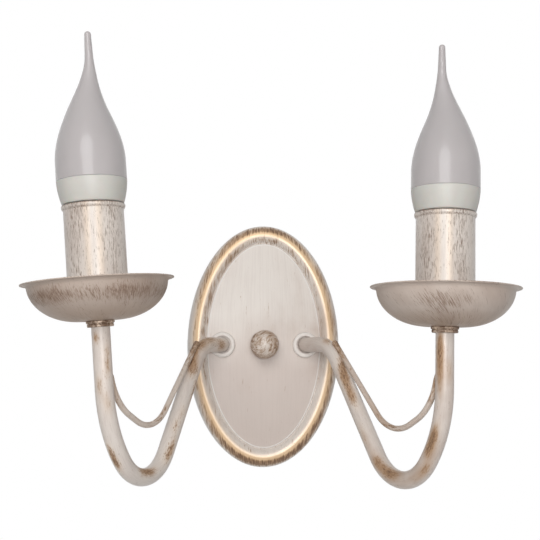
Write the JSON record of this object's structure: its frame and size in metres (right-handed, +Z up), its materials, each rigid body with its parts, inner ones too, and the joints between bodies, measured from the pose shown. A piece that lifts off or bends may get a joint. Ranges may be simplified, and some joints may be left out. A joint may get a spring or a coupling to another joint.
{
  "type": "double arm wall sconce",
  "caption": "Wall light with an oval moulded plate, bent tube arms braced by a thin rod, drip pans, candle sleeves and flame-tip bulbs that screw in.",
  "frame": {"origin": "centre of the back plate in the plane of the wall", "axes": "+Z up; -Y out of the wall into the room; +X to the right for a person facing the light"},
  "size_m": [0.2691, 0.189, 0.2511],
  "materials": {
    "ivory_patina": "aged ivory paint with brushed gold-brown patina, satin",
    "gold_patina": "ivory paint largely covered with gold-brown patina, satin",
    "candle_ivory": "ivory enamel with fine lengthwise streaks, semi-gloss",
    "zinc_steel": "zinc-plated steel, satin",
    "brass": "plain brass",
    "black_plastic": "moulded thermoset, matt",
    "white_plastic": "moulded nylon, matt",
    "bulb_plastic": "cream plastic, matt",
    "bulb_frost": "frosted, translucent",
    "cap_metal": "plated cap, satin",
    "board_white": "coated circuit board",
    "board_green": "circuit board with round capacitor",
    "wire_brown": "insulated conductor",
    "wire_blue": "insulated conductor",
    "wire_earth": "insulated conductor"
  },
  "bodies": {
    "fixture": {"back_plate": "ivory_patina", "wall_bracket": "zinc_steel", "bracket_stud": "zinc_steel", "stud_lock_nut": "zinc_steel", "earth_screw": "brass", "earth_lug": "zinc_steel", "earth_lead": "wire_earth", "terminal_block": "white_plastic", "terminal_tubes": "brass", "terminal_screws": "zinc_steel", "right_rosette": "ivory_patina", "right_arm_washer": "zinc_steel", "right_arm_nut": "zinc_steel", "right_arm_tube": "ivory_patina", "right_arm_rod": "gold_patina", "right_collar": "gold_patina", "right_drip_pan": "ivory_patina", "right_sleeve_seat": "zinc_steel", "right_holder_yoke": "zinc_steel", "right_holder_nut": "zinc_steel", "right_holder_barrel": "black_plastic", "right_holder_rivets": "zinc_steel", "right_holder_shell": "brass", "right_holder_contact": "brass", "right_live_wire": "wire_brown", "right_neutral_wire": "wire_blue", "left_rosette": "ivory_patina", "left_arm_washer": "zinc_steel", "left_arm_nut": "zinc_steel", "left_arm_tube": "ivory_patina", "left_arm_rod": "gold_patina", "left_collar": "gold_patina", "left_drip_pan": "ivory_patina", "left_sleeve_seat": "zinc_steel", "left_holder_yoke": "zinc_steel", "left_holder_nut": "zinc_steel", "left_holder_barrel": "black_plastic", "left_holder_rivets": "zinc_steel", "left_holder_shell": "brass", "left_holder_contact": "brass", "left_live_wire": "wire_brown", "left_neutral_wire": "wire_blue"},
    "right_sleeve": {"right_candle_sleeve": "candle_ivory"},
    "right_bulb_lift": {"right_bulb_contact": "cap_metal"},
    "right_bulb": {"right_bulb_cap": "cap_metal", "right_bulb_insulator": "black_plastic", "right_bulb_housing": "bulb_plastic", "right_bulb_diffuser": "bulb_frost", "right_led_board": "board_white", "right_led_driver": "board_green"},
    "left_sleeve": {"left_candle_sleeve": "candle_ivory"},
    "left_bulb_lift": {"left_bulb_contact": "cap_metal"},
    "left_bulb": {"left_bulb_cap": "cap_metal", "left_bulb_insulator": "black_plastic", "left_bulb_housing": "bulb_plastic", "left_bulb_diffuser": "bulb_frost", "left_led_board": "board_white", "left_led_driver": "board_green"},
    "ball_nut_lift": {"ball_nut_washer": "brass"},
    "ball_nut_body": {"ball_nut": "ivory_patina"}
  },
  "joints": [
    {"name": "ball_nut_travel", "type": "slide", "parent": "fixture", "child": "ball_nut_lift", "axis": [0, -1, 0], "range_m": [0, 0.004]},
    {"name": "ball_nut_turn", "type": "hinge", "parent": "ball_nut_lift", "child": "ball_nut_body", "pos_m": [0, -0.0235, 0], "axis": [0, -1, 0], "range_deg": [0, 1801]},
    {"name": "right_sleeve_turn", "type": "hinge", "parent": "fixture", "child": "right_sleeve", "pos_m": [0.09214, -0.1483, 0.0498], "axis": [0.0262, 0, 0.9997], "continuous": true},
    {"name": "right_bulb_travel", "type": "slide", "parent": "fixture", "child": "right_bulb_lift", "axis": [0.0262, 0, 0.9997], "range_m": [0, 0.01411]},
    {"name": "right_bulb_turn", "type": "hinge", "parent": "right_bulb_lift", "child": "right_bulb", "pos_m": [0.09214, -0.1483, 0.0498], "axis": [0.0262, 0, 0.9997], "range_deg": [0, 1800]},
    {"name": "left_sleeve_turn", "type": "hinge", "parent": "fixture", "child": "left_sleeve", "pos_m": [-0.09792, -0.14596, 0.05238], "axis": [-0.0777, -0.0296, 0.9965], "continuous": true},
    {"name": "left_bulb_travel", "type": "slide", "parent": "fixture", "child": "left_bulb_lift", "axis": [-0.0777, -0.0296, 0.9965], "range_m": [0, 0.01411]},
    {"name": "left_bulb_turn", "type": "hinge", "parent": "left_bulb_lift", "child": "left_bulb", "pos_m": [-0.09792, -0.14596, 0.05238], "axis": [-0.0777, -0.0296, 0.9965], "range_deg": [0, 1800]}
  ],
  "couplings": [
    {"joint": "ball_nut_turn", "follows": "ball_nut_travel", "rad_per_m": 7854},
    {"joint": "right_bulb_travel", "follows": "right_bulb_turn", "m_per_rad": 0.00044882},
    {"joint": "left_bulb_travel", "follows": "left_bulb_turn", "m_per_rad": 0.00044882}
  ]
}
